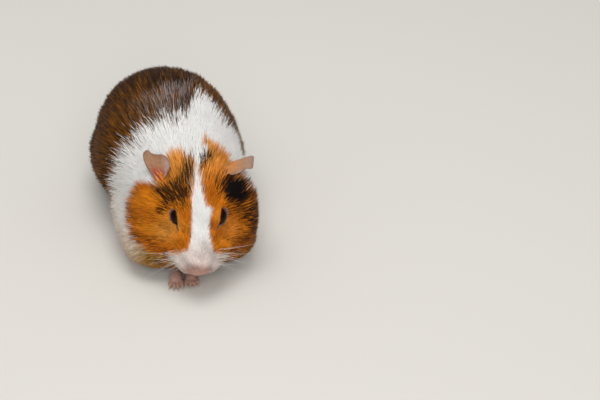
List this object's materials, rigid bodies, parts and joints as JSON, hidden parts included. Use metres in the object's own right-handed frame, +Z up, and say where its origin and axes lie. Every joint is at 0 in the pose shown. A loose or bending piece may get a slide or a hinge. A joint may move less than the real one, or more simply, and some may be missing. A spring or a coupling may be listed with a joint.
{
  "type": "guinea pig",
  "caption": "Smooth-coated guinea pig crouching with its nose to the ground, white, ginger and dark brown, as a still life-size model.",
  "frame": {"origin": "on the ground, under the middle of the animal's bounding box", "axes": "+Z up; +Y from the nose towards the rump; +X towards the animal's left"},
  "size_m": [0.1376, 0.2289, 0.105],
  "materials": {
    "coat": "short smooth fur with white, ginger and dark brown markings",
    "ear_skin": "thin, nearly bare skin",
    "foot_skin": "bare pink skin with fine hair",
    "eye": "wet dark eye",
    "claw": "pale horn"
  },
  "bodies": {
    "root": {"head": "coat", "neck": "coat", "trunk": "coat", "hindleg_left": "coat", "hindleg_right": "coat", "foreleg_left": "coat", "foreleg_right": "coat", "forefoot_left": "foot_skin", "forefoot_right": "foot_skin", "hindfoot_left": "foot_skin", "hindfoot_right": "foot_skin", "ear_left": "ear_skin", "ear_right": "ear_skin", "eye_left": "eye", "eye_right": "eye", "claw_forefoot_left_1": "claw", "claw_forefoot_left_2": "claw", "claw_forefoot_left_3": "claw", "claw_forefoot_left_4": "claw", "claw_forefoot_right_1": "claw", "claw_forefoot_right_2": "claw", "claw_forefoot_right_3": "claw", "claw_forefoot_right_4": "claw", "claw_hindfoot_left_1": "claw", "claw_hindfoot_left_2": "claw", "claw_hindfoot_left_3": "claw", "claw_hindfoot_right_1": "claw", "claw_hindfoot_right_2": "claw", "claw_hindfoot_right_3": "claw"}
  },
  "joints": []
}
